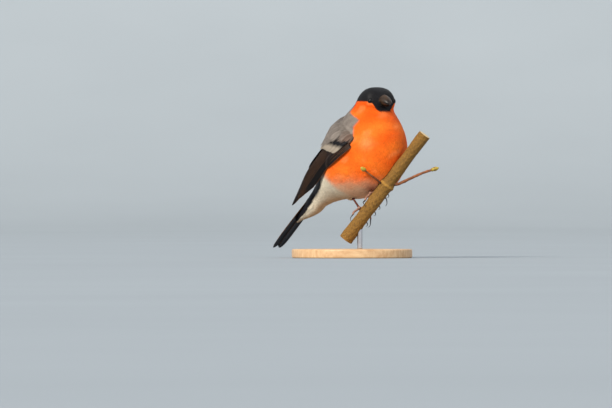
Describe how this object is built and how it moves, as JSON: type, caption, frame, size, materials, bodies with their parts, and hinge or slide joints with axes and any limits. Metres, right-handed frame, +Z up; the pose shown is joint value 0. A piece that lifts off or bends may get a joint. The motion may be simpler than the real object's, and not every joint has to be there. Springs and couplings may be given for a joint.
{
  "type": "perched bullfinch",
  "caption": "Life-size cock bullfinch gripping a cut length of sloping branch, held above a round base by a rod, for display.",
  "frame": {"origin": "centre of the stand base's underside, on the floor", "axes": "+Z up; +Y away from someone who looks at the bird as the picture does; the trunk faces 50 degrees round from them towards +X"},
  "size_m": [0.1298, 0.111, 0.1331],
  "materials": {
    "orange_plumage": "soft feathers",
    "black_cap": "faintly glossy short feathers",
    "black_flight_feathers": "smooth vanes with a faint blue sheen",
    "black_bill": "satin horn",
    "dark_eye": "wet gloss",
    "brown_leg": "scaly skin",
    "dark_claw": "satin horn",
    "branch_bark": "thin dull bark",
    "beech_base": "satin wood",
    "steel_rod": "brushed"
  },
  "bodies": {
    "root": {"bill_lower": "black_bill", "bill_upper": "black_bill", "claw_left_hind": "dark_claw", "claw_left_inner": "dark_claw", "claw_left_middle": "dark_claw", "claw_left_outer": "dark_claw", "claw_right_hind": "dark_claw", "claw_right_inner": "dark_claw", "claw_right_middle": "dark_claw", "claw_right_outer": "dark_claw", "eye_left": "dark_eye", "eye_right": "dark_eye", "foot_left": "brown_leg", "foot_right": "brown_leg", "head": "black_cap", "leg_left": "brown_leg", "leg_right": "brown_leg", "neck": "orange_plumage", "perch_branch": "branch_bark", "perch_bud_twig": "branch_bark", "perch_side_twig": "branch_bark", "stand_base": "beech_base", "stand_rod": "steel_rod", "tail": "black_flight_feathers", "torso": "orange_plumage", "wing_left": "black_flight_feathers", "wing_right": "black_flight_feathers"}
  },
  "joints": []
}
